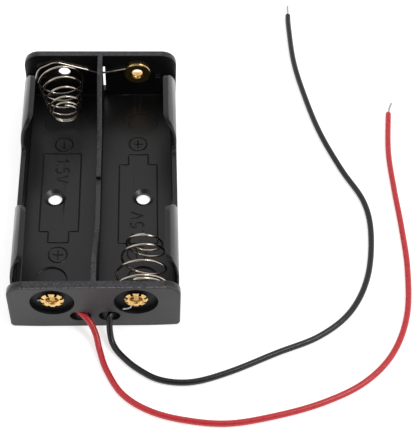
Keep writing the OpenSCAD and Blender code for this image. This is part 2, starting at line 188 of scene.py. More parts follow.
def rod(path, radius, sides, side_hint, edge=CUT_EDGE):
    """Points, faces and UV places of a round rod along a path, with rounded end edges. Each
    point is the path's point plus the radius times the cosine of an angle along one side
    direction and its sine along the other. U runs round the rod and V along it, in mm."""
    rings, radii, at = rounded_ends(path, radius, edge)
    _, side, cross = path_frame(path, side_hint)
    angle = np.linspace(0, 2 * np.pi, sides, endpoint=False)[None, :, None]
    spoke = np.cos(angle) * side[at, None] + np.sin(angle) * cross[at, None]
    points = rings[:, None] + radii[:, None, None] * spoke
    count = len(rings)
    first_cap = np.arange(sides)[::-1]
    last_cap = (count - 1) * sides + np.arange(sides)
    faces = ring_faces(count, sides).tolist() + [first_cap.tolist(), last_cap.tolist()]
    around = np.broadcast_to(angle[..., 0] * radius, (count, sides))
    along = np.broadcast_to(distance_along(rings)[:, None], (count, sides))
    return points.reshape(-1, 3), faces, np.stack([around, along], -1).reshape(-1, 2)


# %% Objects in the shared frame
def read(items, name, kind, width=1):
    """An attribute of every point, corner or face as one array, with width numbers a row."""
    values = np.zeros(len(items) * width, kind)
    items.foreach_get(name, values)
    return values.reshape(-1, width) if width > 1 else values


def mesh_object(name, parts, material):
    """One object at the origin from parts, each of points in mm, faces and UV places."""
    starts = np.cumsum([0] + [len(points) for points, _, _ in parts])
    points = np.vstack([part[0] for part in parts])
    places = np.vstack([part[2] for part in parts])
    faces = [[k + start for k in face]
             for (_, listed, _), start in zip(parts, starts.tolist()) for face in listed]
    mesh = bpy.data.meshes.new(name)
    mesh.from_pydata(points * MM, [], faces)
    mesh.polygons.foreach_set("use_smooth", np.ones(len(mesh.polygons), bool))
    corners = read(mesh.loops, "vertex_index", np.int32)
    uv = mesh.uv_layers.new(name="UVMap")
    uv.uv.foreach_set("vector", places[corners].ravel().astype(np.float32))
    mesh.materials.append(material)
    mesh.update()
    made = bpy.data.objects.new(name, mesh)
    scene.collection.objects.link(made)
    return made


def fit(piece, node):
    """The piece rides on the only body and stands for its CAD node, which is hidden."""
    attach(piece, "root")
    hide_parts(node)
    print(f"{piece.name}: {len(piece.data.vertices)} points, {len(piece.data.polygons)} faces")

# %% [markdown]
# ## Finishes
# Each finish is named for the real material. Images could give the grain, but patterns worked out
# from noise stay sharp at any distance and need no file. Colours are written as sRGB hex values,
# as a colour picker shows them, and one function turns them to the linear values that the shader
# wants. Another adds a node with its settings and links, and a third puts the surface of a finish
# together from its patterns. Patterns are scaled from a size in millimetres.

# %% Colour and node helpers
def linear(hex_colour):
    """Linear RGBA of an sRGB colour: the dark end is divided by 12.92, and the rest is raised
    to the power 2.4 after its offset of 0.055 is taken out."""
    c = np.array([int(hex_colour[k:k + 2], 16) for k in (1, 3, 5)]) / 255
    straight = np.where(c <= 0.04045, c / 12.92, ((c + 0.055) / 1.055) ** 2.4)
    return (*straight.tolist(), 1)


def per(size_mm):
    """Scale of a pattern in Object coordinates whose features are this large."""
    return 1 / (size_mm * MM)


def add_node(tree, kind, inputs=None, **settings):
    """Adds a node, sets its properties, and fills its inputs: a socket is linked, and anything
    else is set as the input's own value."""
    node = tree.nodes.new(kind)
    for key, value in settings.items():
        setattr(node, key, value)
    for key, value in (inputs or {}).items():
        if isinstance(value, bpy.types.NodeSocket):
            tree.links.new(value, node.inputs[key])
        else:
            node.inputs[key].default_value = value
    return node


def empty_material(name):
    """A material with nothing in its node tree, and that tree."""
    material = bpy.data.materials.new(name)
    material.use_nodes = True
    material.node_tree.nodes.clear()
    return material, material.node_tree


# Nearly all of a noise's values lie between these two.
NOISE_LOW, NOISE_HIGH = 0.3, 0.7


def surface(tree, colour, roughness, relief, own):
    """The surface of a finish, driven by patterns from 0 to 1. Colour is a pattern and two hex
    colours, roughness a pattern and two values, and relief a pattern, how high it stands in mm
    and its strength. What is the same all over stands on the shader's own sockets."""
    amount, first, second = colour
    mixed = add_node(tree, "ShaderNodeMix",
                     {"Factor": amount, "A": linear(first), "B": linear(second)},
                     data_type="RGBA").outputs["Result"]
    amount, low, high = roughness
    spread = add_node(tree, "ShaderNodeMapRange",
                      {"Value": amount, "From Min": NOISE_LOW, "From Max": NOISE_HIGH,
                       "To Min": low, "To Max": high}).outputs["Result"]
    height, depth_mm, strength = relief
    tilted = add_node(tree, "ShaderNodeBump",
                      {"Height": height, "Distance": depth_mm * MM,
                       "Strength": strength}).outputs["Normal"]
    shader = add_node(tree, "ShaderNodeBsdfPrincipled",
                      {"Base Color": mixed, "Roughness": spread, "Normal": tilted, **own})
    add_node(tree, "ShaderNodeOutputMaterial", {"Surface": shader.outputs["BSDF"]})

# %% [markdown]
# ### Tray plastic
# The tray is injection-moulded ABS, coloured black in the mass. It gives the eye a very dark body
# under a soft reflection of the room. One plastic would look too even, because each part of the
# mould left its own skin: satin inside the bays, polished on the long sides, coarse where the
# steel was eroded by sparks. The recesses round the eyelets are dull, and their darker body and
# weaker gloss are painted shade. The grain is drawn at 0.16 to 0.3 mm, coarser than the real
# one, so that it shows at this distance.

# %% Tray plastic
ABS_IOR, CLOUD_MM = 1.53, 9


def grained_abs(name, grain_mm):
    """ABS without its surface yet: its material and tree, the Object coordinates, and two
    noises, wide clouds and the fine grain."""
    material, tree = empty_material(name)
    place = add_node(tree, "ShaderNodeTexCoord").outputs["Object"]
    clouds = add_node(tree, "ShaderNodeTexNoise",
                      {"Vector": place, "Scale": per(CLOUD_MM), "Detail": 3.0}).outputs["Fac"]
    grain = add_node(tree, "ShaderNodeTexNoise",
                     {"Vector": place, "Scale": per(grain_mm), "Detail": 2.0}).outputs["Fac"]
    return material, tree, place, clouds, grain


def moulded_abs(name, body, roughness, grain_mm, grain_depth_mm, gloss=0.5):
    """Black ABS. The clouds vary its body between two hex colours and its roughness between
    two values, and the grain stands up."""
    material, tree, _, clouds, grain = grained_abs(name, grain_mm)
    surface(tree, (clouds, *body), (clouds, *roughness), (grain, grain_depth_mm, 1.0),
            {"IOR": ABS_IOR, "Specular IOR Level": gloss})
    return material


tray_plastic = moulded_abs("moulded_black_abs", ("#0d0c0d", "#131213"), (0.28, 0.36),
                           0.16, 0.01)
side_plastic = moulded_abs("polished_black_abs", ("#100f10", "#161516"), (0.2, 0.26),
                           0.16, 0.006)
eroded_plastic = moulded_abs("spark_eroded_black_abs", ("#151417", "#1d1b1f"), (0.42, 0.52),
                             0.3, 0.06)
# Dull and darker, with a weaker gloss: painted shade in the recesses round the eyelets.
recess_plastic = moulded_abs("painted_shade_recess_abs", ("#0b0a0b", "#100f10"), (0.5, 0.6),
                             0.2, 0.03, 0.2)

# %% [markdown]
# ### Painted glints
# The divider's top and the crests of the walls catch the light on the peaks of their grain, and
# a line of light runs along each crest. Both are painted: pale specks stand for the glints on
# the faces that look up, and for the highlight line on the middle of the crests' roundings. They
# could be painted on an image, but a noise over a threshold sets them out without one.

# %% Painted glints
GLINT_ROUGHNESS, GLINT_GRAIN_DEPTH, SPECK_EDGE = (0.42, 0.5), 0.05, 0.2


def painted_glint_abs(name, dark, light, speck_mm, rare):
    """ABS with painted glints: pale specks that stand for light on the grain. A speck starts where
    its noise passes the value rare, and is fully pale a little beyond it."""
    material, tree, place, clouds, grain = grained_abs(name, speck_mm)
    noise = add_node(tree, "ShaderNodeTexNoise",
                     {"Vector": place, "Scale": per(speck_mm), "Detail": 1.0}).outputs["Fac"]
    specks = add_node(tree, "ShaderNodeMapRange",
                      {"Value": noise, "From Min": rare,
                       "From Max": rare + SPECK_EDGE}).outputs["Result"]
    surface(tree, (specks, dark, light), (clouds, *GLINT_ROUGHNESS), (grain, GLINT_GRAIN_DEPTH, 1.0),
            {"IOR": ABS_IOR})
    return material


# Pale specks on the faces that look up: painted glints of light on the grain.
top_plastic = painted_glint_abs("painted_glint_top_abs", "#1a191c", "#3c3b40", 0.28, 0.4)
# Pale specks on the middle of the crests' roundings: a painted highlight line.
edge_plastic = painted_glint_abs("painted_highlight_edge_abs", "#29282b", "#68676c", 0.3, 0.35)
TRAY_SKINS = (tray_plastic, side_plastic, eroded_plastic, top_plastic, edge_plastic,
              recess_plastic)
print("skins of the tray:", ", ".join(skin.name for skin in TRAY_SKINS))

# %% [markdown]
# ### Metals
# Spring wire is drawn steel with a nickel plate: bright, slightly warm, with faint lines along
# the wire from the die. The eyelets are pressed brass, whose yellow goes browner where it is
# tarnished. The leads' strands are tinned copper, duller and greyer than nickel. A metal's colour
# is its reflection, so each has a pale base colour and a low roughness, and the room does the
# rest. The die's lines follow the UV places of the wire, and the other patterns the object.

# %% Metals
METAL = {"Metallic": 1.0}
# Lines in each millimetre round the wire and along it.
DIE_LINES = (14, 0.5, 1)


def plated_wire():
    """Nickel-plated wire. The noise is squeezed round the wire and drawn out along it."""
    material, tree = empty_material("nickel_plated_wire")
    round_and_along = add_node(tree, "ShaderNodeUVMap", uv_map="UVMap").outputs["UV"]
    drawn = add_node(tree, "ShaderNodeMapping",
                     {"Vector": round_and_along, "Scale": DIE_LINES}).outputs["Vector"]
    lines = add_node(tree, "ShaderNodeTexNoise",
                     {"Vector": drawn, "Scale": 1.0, "Detail": 2.0}).outputs["Fac"]
    surface(tree, (lines, "#b8ada0", "#d8cfc3"), (lines, 0.13, 0.22), (lines, 0.004, 0.5),
            METAL)
    return material


def pressed_brass():
    """Brass with patches of tarnish of about 0.9 mm."""
    material, tree = empty_material("pressed_brass")
    place = add_node(tree, "ShaderNodeTexCoord").outputs["Object"]
    tarnish = add_node(tree, "ShaderNodeTexNoise",
                       {"Vector": place, "Scale": per(0.9), "Detail": 3.0}).outputs["Fac"]
    surface(tree, (tarnish, "#f2cf8c", "#d3a661"), (tarnish, 0.16, 0.26), (tarnish, 0.01, 0.4),
            METAL)
    return material


def tinned_copper():
    """Copper under solder, with ripples of about 0.4 mm."""
    material, tree = empty_material("tinned_copper")
    place = add_node(tree, "ShaderNodeTexCoord").outputs["Object"]
    solder = add_node(tree, "ShaderNodeTexNoise",
                      {"Vector": place, "Scale": per(0.4), "Detail": 2.0}).outputs["Fac"]
    surface(tree, (solder, "#b9b6b1", "#d9d7d3"), (solder, 0.25, 0.4), (solder, 0.01, 0.5),
            METAL)
    return material


nickel_wire, brass, tinned = plated_wire(), pressed_brass(), tinned_copper()
print("metals:", nickel_wire.name, brass.name, tinned.name)

# %% [markdown]
# ### Insulation
# Soft PVC is extruded over the strands. It gives the eye a strong even colour with a soft gloss,
# broken by the faintest ripple from the extruder. The ripple could be in the mesh, but it is so
# low that bump is enough, and it follows the UV places, so that it stays with a bent lead.

# %% Insulation
PVC_IOR, RIPPLES_PER_MM = 1.53, 0.9


def extruded_pvc(name, first, second):
    """PVC whose colour and roughness drift with the ripple."""
    material, tree = empty_material(name)
    round_and_along = add_node(tree, "ShaderNodeUVMap", uv_map="UVMap").outputs["UV"]
    ripple = add_node(tree, "ShaderNodeTexNoise",
                      {"Vector": round_and_along, "Scale": RIPPLES_PER_MM,
                       "Detail": 2.0}).outputs["Fac"]
    surface(tree, (ripple, first, second), (ripple, 0.24, 0.34), (ripple, 0.03, 0.5),
            {"IOR": PVC_IOR})
    return material


red_pvc = extruded_pvc("red_pvc", "#c0232a", "#cd3036")
black_pvc = extruded_pvc("black_pvc", "#060606", "#0c0c0c")
print("insulation:", red_pvc.name, black_pvc.name)

# %% [markdown]
# ## Flying leads
# Each lead is a limp wire of 1.2 mm over its insulation. It leaves through its hole, drops to the
# ground within a few diameters and then lies there in one wide curve. A physics simulation could
# lay it down, but it would not lie where the CAD model's lead does. So its route is a short list
# of points, the same as there, with one smooth curve through them. A height of 0 in the route
# lies on the ground, and the curve is lifted by half a diameter.

# %% Routes of the leads
LEAD = 1.2
RED_ROUTE = [
    [-3.4, -28.4, 3.9], [-2.2, -29.6, 3.8], [-0.9, -30.9, 3.2], [0.2, -33, 2],
    [0.9, -35.7, 1], [2.2, -39.6, 0], [5, -44.4, 0], [9.4, -47.7, 0],
    [15.5, -49.8, 0], [24, -50.8, 0], [33, -49.4, 0], [42, -46.8, 0],
    [50, -42.8, 0], [56, -36.8, 0], [59.8, -28.4, 0], [61.3, -17.8, 0],
    [61.4, -7.8, 0], [61.1, 2.2, 0], [61.1, 12.2, 0], [62.4, 23, 0]]
RED_TIP = [63.5, 26.1, 0.5]
BLACK_ROUTE = [
    [3.4, -28.4, 3.9], [2.8, -29.8, 3.7], [2.7, -30.9, 3.1], [2.8, -32.4, 1.9],
    [3.3, -34.2, 1], [4.7, -36.3, 0], [7.8, -39.3, 0], [12.2, -41.8, 0],
    [18, -42.3, 0], [25, -40.3, 0], [34, -36.4, 0], [42.5, -32.8, 0],
    [49, -27.4, 0], [53.2, -19.3, 0], [55, -8.8, 0], [54.3, -0.8, 0],
    [50.6, 7.4, 0], [47, 17.2, 0], [44.6, 27.2, 0], [42.8, 38.2, 0],
    [42.4, 49.2, 0], [42.5, 53.2, 0]]
BLACK_TIP = [42.7, 56.4, 0.5]


def lying(route, steps):
    """Smooth curve through a route, with no point lower than half a lead above the ground."""
    floor = np.array([-np.inf, -np.inf, LEAD / 2])
    return np.maximum(smooth_curve(np.maximum(route, floor), steps), floor)


red_path, black_path = lying(RED_ROUTE, 10), lying(BLACK_ROUTE, 10)
print("points on the leads:", len(red_path), len(black_path))

# %% Insulation of the leads
LEAD_SIDES, LEAD_CUT = 24, 0.06
UPRIGHT = (0, 0, 1)


def insulation(colour, path, pvc):
    """The insulation of one lead, a rod along its path with the cut ends barely rounded."""
    tube = rod(path, LEAD / 2, LEAD_SIDES, UPRIGHT, LEAD_CUT)
    lead = mesh_object(f"{colour}_insulation", [tube], pvc)
    fit(lead, f"{colour}_lead")
    return lead


red_lead = insulation("red", red_path, red_pvc)
black_lead = insulation("black", black_path, black_pvc)

# %% [markdown]
# ## Strands
# A lead's core is seven fine copper strands, laid round each other as a rope. Bared and dipped in
# solder, they make the tinned ends; bared again inside the tray, they run up the wall to the
# eyelets. One rod with a bump would do from afar, but its outline would be too smooth. So one
# strand follows the path and six wind round it, a third of the bundle's diameter out, where each
# touches its neighbours.

# %% Strand bundles
OUTER_STRANDS, STRAND_SIDES = 6, 8
STRAND_HINT = (0.3, 1, 0.2)
# Strands are a little thicker than a third of the bundle, so that no gap shows between them.
SWELL = 1.04


def bundle(path, diameter, lay_mm):
    """Rods of a stranded core: the middle strand is the path itself, and strand k of the outer
    six is off it by a third of the diameter, at an angle of k sixths of a turn plus one turn
    for each lay_mm along the path."""
    _, side, cross = path_frame(path, STRAND_HINT)
    turn = 2 * np.pi * distance_along(path) / lay_mm
    phase = 2 * np.pi * np.arange(OUTER_STRANDS)[:, None] / OUTER_STRANDS + turn
    offset = np.cos(phase)[..., None] * side + np.sin(phase)[..., None] * cross
    outer = path + diameter / 3 * offset
    radius = diameter / 6 * SWELL
    return [rod(strand, radius, STRAND_SIDES, STRAND_HINT, radius / 2)
            for strand in [path, *outer]]


# %% Tinned ends
TINNED, TINNED_LAY, HIDDEN = 0.5, 4.5, 0.3


def parabola(start, corner, finish, count):
    """Points from start to finish, with shares of (1 - u) squared of the start, 2 u (1 - u) of
    the corner and u squared of the finish. It leaves and arrives in line with the corner."""
    u = np.linspace(0, 1, count)[:, None]
    return (1 - u) ** 2 * start + 2 * u * (1 - u) * corner + u ** 2 * finish


def tinned_end(colour, path, tip):
    """A parabola from just inside the insulation, at first straight on and then to the tip."""
    onward = unit(path[-1] - path[-2])
    end = parabola(path[-1] - HIDDEN * onward, path[-1] + onward, np.array(tip), 24)
    piece = mesh_object(f"{colour}_tinned_strands", bundle(end, TINNED, TINNED_LAY), tinned)
    fit(piece, f"{colour}_tinned_end")
    return piece


red_end = tinned_end("red", red_path, RED_TIP)
black_end = tinned_end("black", black_path, BLACK_TIP)

# %% [markdown]
# ## Cords
# Both leads are free cords with a bare end.


# %% [markdown]
# ## Contacts
# The cells' axes set the places of all that touches them. Each lead's bare strands are clamped by
# an eyelet: they run up the inside of the wall and under its flange, and a short tail sticks out
# between the petals on the outside. They could be left out, as they are small, but such stray
# strands are what makes a holder like this look hand-assembled.

# %% Places that the contacts share
END_WALL = 1.58
WALL_Y = tray_high[1] - END_WALL
CELL_X, CELL_Z = 7.75, 8.35
HOLE_X, HOLE_Z = 3.4, 3.9
# Thickness of the wall between an eyelet's flange and its petals, and a hair of room for a seat.
WEB, SEAT = 0.58, 0.005
print(f"cells' axes: {CELL_X} mm from the middle, {CELL_Z} mm up; walls at {WALL_Y:.2f} mm")

# %% Bare strands at the eyelets
STRAND, STRAND_LAY, CURVE_STEPS = 0.3, 3, 12
# The run comes in at this angle. Its last two points are this far from the eyelet's axis, which
# is a little before the flange and under it.
RUN_ANGLE, BEFORE_FLANGE, UNDER_FLANGE = math.radians(225), 3.6, 2.35
# Each point of a tail: distance from the eyelet's axis, angle in degrees, height over the web.
RED_TAIL = [[1.6, 190, 0], [2.3, 187, 0.05], [2.75, 185, 0.15]]
BLACK_TAIL = [[1.6, 250, 0], [2.6, 250, 0.1], [3.2, 246, 0.3], [3.7, 227, 0.65]]


def strand_run(side):
    """From the lead's hole up the inside of the wall and in under the eyelet's flange. The last
    two points are the axis plus their distances along the run's angle."""
    wall = -WALL_Y + STRAND / 2 + SEAT
    axis = np.array([side * CELL_X, wall, CELL_Z])
    aim = np.array([side * math.cos(RUN_ANGLE), 0, math.sin(RUN_ANGLE)])
    return smooth_curve([[side * HOLE_X, -WALL_Y - 0.1, HOLE_Z],
                         [side * (HOLE_X + 0.4), wall, HOLE_Z + 0.4],
                         axis + BEFORE_FLANGE * aim, axis + UNDER_FLANGE * aim], CURVE_STEPS)


def strand_tail(side, tail):
    """Out from under the petals, on the outside of the wall: each point is the axis plus its
    distance times the cosine and sine of its angle, and stands off the web by its height."""
    away, degrees, height = np.array(tail).T
    angle = np.radians(degrees)
    outside = -WALL_Y - WEB - STRAND / 2 - SEAT
    points = np.column_stack([side * CELL_X + away * np.cos(angle), outside - height,
                              CELL_Z + away * np.sin(angle)])
    return smooth_curve(points, CURVE_STEPS)


for colour, side, tail in (("red", -1, RED_TAIL), ("black", 1, BLACK_TAIL)):
    strands = [strand for path in (strand_run(side), strand_tail(side, tail))
               for strand in bundle(path, STRAND, STRAND_LAY)]
    fit(mesh_object(f"{colour}_bare_strands", strands, tinned), f"{colour}_strands")

# %% [markdown]
# ## Springs
# Each spring is one piece of 0.45 mm wire. It is wound as a cone, close at its tip and open
# towards its base, and it ends in a hook that the eyelet clamps. Blender's Screw modifier makes
# only an even pitch, so this coil is a formula: with t counting turns from the tip, the point
# goes round at a radius that grows with t, while its height over the wall falls slowly through
# the close turns and then quickly to the base.

# %% Coils
WIRE, WIRE_SIDES, SPRING_LENGTH = 0.45, 16, 11.9
WIRE_Y = WIRE / 2 + SEAT
STEPS_PER_TURN = 72
ALONG_Y = (0, 1, 0)


def soft_bend(t, rounding):
    """0 before 0 and t after it, with the corner rounded: half of t plus the root of the sum of
    t squared and the rounding squared."""
    return (np.sqrt(t * t + rounding * rounding) + t) / 2


def coil_height(t, closed, closed_pitch, turns, base, rounding):
    """Height over the wall at turn t: the free length, less the close pitch for each turn, less
    a share of what is left that follows the soft bend after the close turns."""
    rise = soft_bend(t - closed, rounding) - soft_bend(-closed, rounding)
    full = soft_bend(turns - closed, rounding) - soft_bend(-closed, rounding)
    left = SPRING_LENGTH - base - closed_pitch * turns
    return SPRING_LENGTH - closed_pitch * t - left * rise / full


def coil_radius(t, tip, base, turns):
    """Radius at turn t: the tip's for half a turn, and then an even growth to the base's."""
    return tip + (base - tip) * np.clip((t - 0.5) / (turns - 0.5), 0, 1)


def turn_angle(t):
    """Angle at turn t: the wire starts at the top of the tip, at 90 degrees."""
    return np.radians(90 + 360 * t)


def spring_piece(name, path, node):
    """A spring from the middle line of its wire."""
    fit(mesh_object(name, [rod(path, WIRE / 2, WIRE_SIDES, ALONG_Y)], nickel_wire), node)


print(f"wire {WIRE} mm, springs {SPRING_LENGTH} mm long when free")

# %% Hooks
LOOP_R, LOOP_DEGREES, LOOP_STEP = 1.8, 300, 6.0


def corner_curve(before, at, after, reach):
    """A rounded corner: the parabola that leaves one side and meets the other at a distance
    of reach from the corner."""
    return parabola(at + reach * unit(before - at), at, at + reach * unit(after - at), 12)


def loop_at(axis, degrees):
    """Points at these angles on the loop round an eyelet's barrel: the axis plus the loop's
    radius times the cosine along X and the sine along Z."""
    angle = np.radians(degrees)[..., None]
    return axis + LOOP_R * np.concatenate(
        [np.cos(angle), np.zeros_like(angle), np.sin(angle)], -1)


def hooked(before, at, axis, way, reach):
    """The corner at a point, the straight that touches the loop, and the loop. The straight
    meets the loop where it is square to the radius. way is 1 for anticlockwise."""
    across, _, height = axis - at
    touch = math.degrees(math.atan2(height, across)
                         - way * (math.pi / 2 + math.asin(LOOP_R / math.hypot(across, height))))
    loop = loop_at(axis, touch + way * np.arange(0, LOOP_DEGREES + 1, LOOP_STEP))
    return np.vstack([corner_curve(before, at, loop[0], reach), loop])


print(f"hooks: {LOOP_DEGREES} degrees of a loop of {LOOP_R} mm radius")

# %% Spring of the right bay
NEGATIVE_TURNS, NEGATIVE_CONE = 5, 4.2
NEGATIVE_COIL = dict(closed=1.4, closed_pitch=0.19, turns=NEGATIVE_CONE, base=WIRE_Y,
                     rounding=0.3)
NEGATIVE_TIP_R, NEGATIVE_BASE_R = 3.1, 5.3
# How far the coil's middle is off the cell's axis at its base and at its tip.
BASE_ASIDE, TIP_ASIDE = 0.7, 1.7
# How much of x and z leans the coil, and the angle of the strands under its base turn.
LEAN_X, LEAN_Z, STRANDS_AT = -0.1, -0.12, math.radians(222)


def negative_point(t):
    """The cone's point at turn t. It leans: the height takes in small shares of x and z. The
    flat base turn is lifted over the strands by the cosine of twice the angle from them."""
    over = np.clip(np.cos(2 * (turn_angle(t) - STRANDS_AT)), 0, 1)
    lifted = WIRE_Y + (STRAND + 3 * SEAT) * over
    height = np.maximum(coil_height(t, **NEGATIVE_COIL), lifted)
    up = (height - WIRE_Y) / (SPRING_LENGTH - WIRE_Y)
    radius = coil_radius(t, NEGATIVE_TIP_R, NEGATIVE_BASE_R, NEGATIVE_CONE)
    x, z = radius * np.cos(turn_angle(t)), radius * np.sin(turn_angle(t))
    lean = (LEAN_X * x + LEAN_Z * z) * np.minimum(1, 2 * up)
    aside = BASE_ASIDE + (TIP_ASIDE - BASE_ASIDE) * up
    return np.stack([CELL_X + aside + x, height + lean - WALL_Y, CELL_Z + z], -1)


def negative_path():
    """The coil, whose last turn lies flat on the wall, and the hook inside that turn."""
    coil = negative_point(np.arange(NEGATIVE_TURNS * STEPS_PER_TURN) / STEPS_PER_TURN)
    end = negative_point(np.array(float(NEGATIVE_TURNS)))
    axis = np.array([CELL_X, WIRE_Y - WALL_Y, CELL_Z])
    return np.vstack([coil, hooked(end, end - [1, 0, 0.2], axis, 1, 0.7)])


spring_piece("right_bay_spring", negative_path(), "negative_spring")

# %% [markdown]
# ### Series wire
# The left bay's spring doesn't stop at its own wall. Its wire rises to a peak, drops past the
# divider through a slot and hooks round the right bay's eyelet, which puts the two cells in
# series without a joint in the wire. Two pieces that meet behind the divider would look the same
# from most sides, but one path shows the wire in the slot as well.

# %% Spring of the left bay, with its series wire
SERIES_TURNS, SERIES_FOOT = 5.75, 1.1
SERIES_COIL = dict(closed=1.8, closed_pitch=0.6, turns=SERIES_TURNS, base=SERIES_FOOT,
                   rounding=0.5)
SERIES_TIP_R, SERIES_BASE_R = 2.65, 5
FOOT_ASIDE, END_ASIDE, SERIES_LEAN = 1, -0.7, -0.09
PEAK_X, PEAK_Z, DIP_Z = -9.5, 11.7, 8.2


def series_point(t):
    """The cone's point at turn t, as in the right bay but turned half round: X and Y are both
    reversed, so it is wound the same way. Its height takes in a small share of x."""
    height = coil_height(t, **SERIES_COIL)
    up = (height - SERIES_FOOT) / (SPRING_LENGTH - SERIES_FOOT)
    radius = coil_radius(t, SERIES_TIP_R, SERIES_BASE_R, SERIES_TURNS)
    x, z = radius * np.cos(turn_angle(t)), radius * np.sin(turn_angle(t))
    aside = FOOT_ASIDE + (END_ASIDE - FOOT_ASIDE) * up
    return np.stack([-CELL_X - aside - x, WALL_Y - height + SERIES_LEAN * x,
                     CELL_Z + z], -1)


def series_path():
    """The coil, a rise to the peak, the straight through the slot, and the hook."""
    coil = series_point(np.arange(SERIES_TURNS * STEPS_PER_TURN) / STEPS_PER_TURN)
    y = WALL_Y - WIRE_Y
    end = series_point(np.array(SERIES_TURNS))
    rise = np.array([end[0] + 0.6, end[1] + (y - end[1]) * 0.8, end[2] + 1.4])
    peak, dip = np.array([PEAK_X, y, PEAK_Z]), np.array([0, y, DIP_Z])
    axis = np.array([CELL_X, y, CELL_Z])
    return np.vstack([coil, corner_curve(end, rise, peak, 1), corner_curve(rise, peak, dip, 1),
                      hooked(peak, dip, axis, -1, 1.5)])


spring_piece("left_bay_spring", series_path(), "series_spring")

# %% [markdown]
# ## Softened edges
# The forms of the tray and the eyelets in the CAD model are right, but every edge there is
# perfectly sharp. A real edge has a small radius, and most of what the eye reads as an edge is
# the light on it. A Bevel node would only shade it, and wouldn't reach the exported mesh. So a
# copy of the CAD mesh is merged, its flat faces are joined back, and a bevel rounds its edges. The
# bevel also hardens the shading, so that flats stay flat beside it.

# %% Merged copies
SAME_POINT, SAME_PLANE = 0.001, math.radians(0.5)


def merged(mesh):
    """A bmesh of a mesh in which doubled points are merged and flat faces joined."""
    shape = bmesh.new()
    shape.from_mesh(mesh)
    bmesh.ops.remove_doubles(shape, verts=shape.verts, dist=SAME_POINT * MM)
    bmesh.ops.dissolve_limit(shape, angle_limit=SAME_PLANE, verts=shape.verts,
                             edges=shape.edges)
    return shape


def bare_object(name, shape, material):
    """An object at the origin from a bmesh, which is freed."""
    mesh = bpy.data.meshes.new(name)
    shape.to_mesh(mesh)
    shape.free()
    mesh.materials.clear()
    mesh.materials.append(material)
    made = bpy.data.objects.new(name, mesh)
    scene.collection.objects.link(made)
    return made


def apply_modifiers(made):
    """Puts the result of the object's modifiers into its mesh."""
    evaluated = made.evaluated_get(bpy.context.evaluated_depsgraph_get())
    mesh = bpy.data.meshes.new_from_object(evaluated)
    made.modifiers.clear()
    made.data = mesh


# %% Shading of flat faces
# Height of the bays' floor, how near it a level point is, and how straight a flat face looks.
FLOOR, LEVEL_WITHIN, STRAIGHT = 1.1, 0.005, 0.9999


def keep_flats(mesh):
    """Shades each face that looks straight along Y or Z by its own normal, and each face of
    the bays' floor straight up, so that no neighbour bends the light on it."""
    normal = read(mesh.polygons, "normal", np.float32, 3)
    shading = read(mesh.corner_normals, "vector", np.float32, 3)
    height = read(mesh.vertices, "co", float, 3)[:, 2] / MM
    corner_height = height[read(mesh.loops, "vertex_index", np.int32)]
    in_floor = np.abs(corner_height - FLOOR) < LEVEL_WITHIN
    first_corner = read(mesh.polygons, "loop_start", np.int32)
    normal[np.logical_and.reduceat(in_floor, first_corner)] = (0, 0, 1)
    flat = np.abs(normal[:, 1:]).max(1) > STRAIGHT
    face_of_corner = np.repeat(np.arange(len(normal)),
                               read(mesh.polygons, "loop_total", np.int32))
    shading = np.where(flat[face_of_corner][:, None], normal[face_of_corner], shading)
    mesh.normals_split_custom_set(shading)
    return int(flat.sum())


# %% Bevels
WIDEST_EDGE, EDGE_SEGMENTS = 0.4, 3


def softened(name, shape, material, edge_width, least_degrees=25):
    """An object with rounded edges. edge_width gives each edge's width in mm from its middle
    in mm and whether it stands out. An edge of no width stays sharp."""
    weight = shape.edges.layers.float.new("bevel_weight_edge")
    for edge in shape.edges:
        if edge.calc_face_angle(0) > math.radians(least_degrees):
            middle = (edge.verts[0].co + edge.verts[1].co) / 2 / MM
            edge[weight] = edge_width(middle, edge.is_convex) / WIDEST_EDGE
            edge.smooth = edge[weight] > 0
    for face in shape.faces:
        face.smooth = True
    made = bare_object(name, shape, material)
    bevel = made.modifiers.new("edges", "BEVEL")
    bevel.width, bevel.segments = WIDEST_EDGE * MM, EDGE_SEGMENTS
    bevel.limit_method = "WEIGHT"
    bevel.use_clamp_overlap = False
    bevel.harden_normals = True
    apply_modifiers(made)
    print(f"{name}: {keep_flats(made.data)} flat faces beside softened edges")
    return made

# %% [markdown]
# ## Eyelets
# Each eyelet is a brass tube, pressed from strip. A hollow flange bears on the inside of its
# wall. On the outside the tube was slit and rolled back into petals, which hold it. They could be
# built again as a profile that is spun, but the CAD model already has the petals' slits, so its
# mesh is kept and only its edges are softened, by 0.03 mm, as thin pressed strip has them.

# %% Eyelets
# Width of the rounding in mm, and the least turn in degrees that makes an edge.
EYELET_EDGE, EYELET_CORNER = 0.03, 40

for place, node in (("left", "positive_eyelet"), ("right", "negative_eyelet"),
                    ("far", "series_eyelet")):
    eyelet = softened(f"{place}_eyelet_brass", merged(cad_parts[node].data), brass,
                      lambda middle, convex: EYELET_EDGE, EYELET_CORNER)
    fit(eyelet, node)

# %% [markdown]
# ## Marks
# The floor of each bay is marked with the outline of a cell, its polarity signs and its voltage,
# so that it can be filled the right way round. Fine rings run round the ejector's pockets. The
# marks could be a bump, but then the exported mesh would be bare, so they are cut: lines 0.3 mm
# wide and letters 0.42 mm wide. The strokes are given for the left bay, seen from above. The right
# bay's are the same, turned by half a turn about the middle of the tray.

# %% Strokes
LINE_WIDTH, LETTER_WIDTH, GROOVE_DEPTH = 0.3, 0.42, 0.24
LETTER_TOP, LETTER_FOOT, WORD_START = -6.5, -9.0, 9.9


def circle(centre, radius, start=0, stop=360, count=33):
    """Points on an arc: the centre plus the radius times the cosine and sine of an angle that
    goes evenly from one value to the other, in degrees."""
    angle = np.radians(np.linspace(start, stop, count))[:, None]
    return np.array(centre) + radius * np.hstack([np.cos(angle), np.sin(angle)])


def strokes_between(points, closed=False):
    """Straight strokes of two points each, from each point to the next."""
    p = np.array(points, float)
    after = np.roll(p, -1, 0)
    return [np.array(pair) for pair in zip(p, after)][:None if closed else -1]


